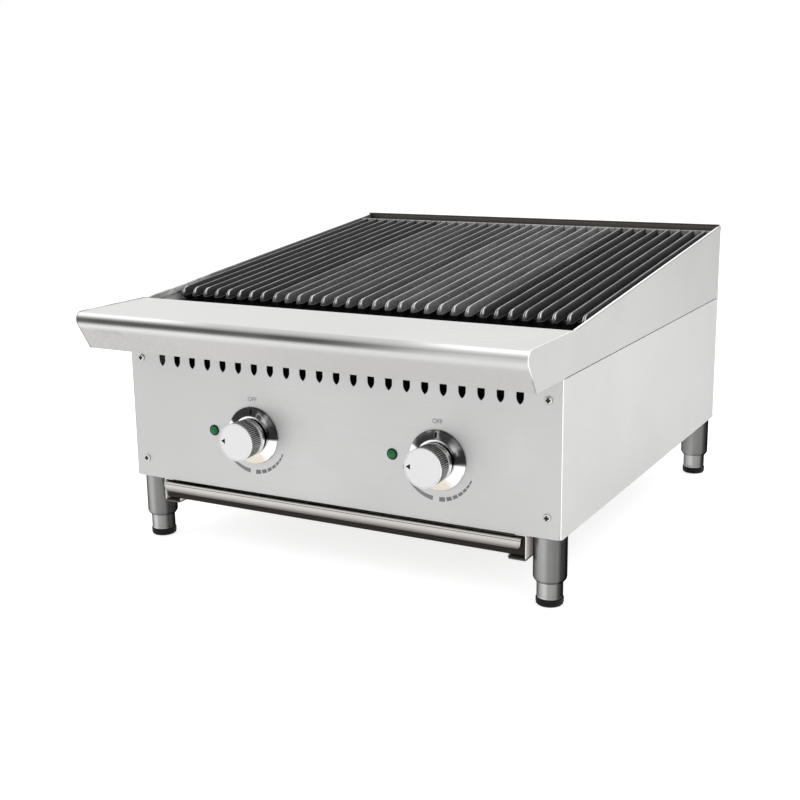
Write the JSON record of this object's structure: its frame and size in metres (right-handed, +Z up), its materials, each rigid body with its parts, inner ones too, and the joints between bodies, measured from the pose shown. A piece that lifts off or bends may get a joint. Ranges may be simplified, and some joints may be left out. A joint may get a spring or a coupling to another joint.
{
  "type": "countertop charbroiler",
  "caption": "Countertop electric charbroiler with sloping cast bar grates, front ledge, dial controls, slide-out drip tray and adjustable legs.",
  "frame": {"origin": "on the counter, under the centre of the bounding box of the whole machine", "axes": "+X to the cook's right, +Y away from the cook, +Z up"},
  "size_m": [0.61, 0.7678, 0.3875],
  "materials": {
    "stainless_sheet": "fine brushed, satin",
    "galvanised": "dull grey zinc",
    "chrome": "polished",
    "cast_iron": "dark seasoned casting, worn brighter on the ridges",
    "element_sheath": "heat-darkened alloy sheath",
    "black_plastic": "matt black",
    "white_plastic": "off-white moulding",
    "wire_sleeve": "black sleeving",
    "lamp_green": "dark green translucent lens"
  },
  "bodies": {
    "cabinet": {"side_lower_left": "stainless_sheet", "side_lower_right": "stainless_sheet", "side_upper_left": "stainless_sheet", "side_upper_right": "stainless_sheet", "front_apron": "stainless_sheet", "control_panel": "stainless_sheet", "back_panel": "stainless_sheet", "base_frame": "galvanised", "firebox_front_wall": "galvanised", "grate_support_front": "galvanised", "grate_support_rear": "galvanised", "element_support_front": "galvanised", "element_support_rear": "galvanised", "heating_element_left": "element_sheath", "heating_element_right": "element_sheath", "tray_rail_left": "stainless_sheet", "tray_rail_right": "stainless_sheet", "leg_tube_front_left": "stainless_sheet", "leg_tube_front_right": "stainless_sheet", "leg_tube_rear_left": "stainless_sheet", "leg_tube_rear_right": "stainless_sheet", "leg_nut_front_left": "galvanised", "leg_nut_front_right": "galvanised", "leg_nut_rear_left": "galvanised", "leg_nut_rear_right": "galvanised", "knob_bezel_left": "chrome", "power_regulator_left": "white_plastic", "lamp_barrel_left": "stainless_sheet", "lamp_lens_left": "lamp_green", "knob_bezel_right": "chrome", "power_regulator_right": "white_plastic", "lamp_barrel_right": "stainless_sheet", "lamp_lens_right": "lamp_green", "panel_screw_upper_left": "chrome", "panel_screw_upper_right": "chrome", "panel_screw_lower_left": "chrome", "panel_screw_lower_right": "chrome", "cable_gland": "black_plastic", "supply_conduit": "galvanised", "terminal_block": "white_plastic", "wiring_loom": "wire_sleeve"},
    "knob_left": {"knob_left": "chrome", "knob_face_left": "stainless_sheet", "knob_shaft_left": "galvanised"},
    "knob_right": {"knob_right": "chrome", "knob_face_right": "stainless_sheet", "knob_shaft_right": "galvanised"},
    "grate_1": {"grate_1": "cast_iron"},
    "grate_2": {"grate_2": "cast_iron"},
    "grate_3": {"grate_3": "cast_iron"},
    "grate_4": {"grate_4": "cast_iron"},
    "drip_tray": {"drip_tray": "stainless_sheet"},
    "foot_front_left": {"foot_sleeve_front_left": "stainless_sheet", "foot_cap_front_left": "black_plastic"},
    "foot_front_right": {"foot_sleeve_front_right": "stainless_sheet", "foot_cap_front_right": "black_plastic"},
    "foot_rear_left": {"foot_sleeve_rear_left": "stainless_sheet", "foot_cap_rear_left": "black_plastic"},
    "foot_rear_right": {"foot_sleeve_rear_right": "stainless_sheet", "foot_cap_rear_right": "black_plastic"}
  },
  "joints": [
    {"name": "knob_left_turn", "type": "hinge", "parent": "cabinet", "child": "knob_left", "pos_m": [-0.113, -0.28314, 0.1627], "axis": [0, 1, 0], "range_deg": [-155, 90]},
    {"name": "knob_right_turn", "type": "hinge", "parent": "cabinet", "child": "knob_right", "pos_m": [0.149, -0.28314, 0.1627], "axis": [0, 1, 0], "range_deg": [-155, 90]},
    {"name": "drip_tray_slide", "type": "slide", "parent": "cabinet", "child": "drip_tray", "axis": [0, -1, 0], "range_m": [0, 0.5]},
    {"name": "grate_1_lift", "type": "slide", "parent": "cabinet", "child": "grate_1", "axis": [0, 0, 1], "range_m": [0, 0.15]},
    {"name": "grate_2_lift", "type": "slide", "parent": "cabinet", "child": "grate_2", "axis": [0, 0, 1], "range_m": [0, 0.15]},
    {"name": "grate_3_lift", "type": "slide", "parent": "cabinet", "child": "grate_3", "axis": [0, 0, 1], "range_m": [0, 0.15]},
    {"name": "grate_4_lift", "type": "slide", "parent": "cabinet", "child": "grate_4", "axis": [0, 0, 1], "range_m": [0, 0.15]},
    {"name": "foot_front_left_level", "type": "slide", "parent": "cabinet", "child": "foot_front_left", "axis": [0, 0, -1], "range_m": [0, 0.02]},
    {"name": "foot_front_right_level", "type": "slide", "parent": "cabinet", "child": "foot_front_right", "axis": [0, 0, -1], "range_m": [0, 0.02]},
    {"name": "foot_rear_left_level", "type": "slide", "parent": "cabinet", "child": "foot_rear_left", "axis": [0, 0, -1], "range_m": [0, 0.02]},
    {"name": "foot_rear_right_level", "type": "slide", "parent": "cabinet", "child": "foot_rear_right", "axis": [0, 0, -1], "range_m": [0, 0.02]}
  ]
}
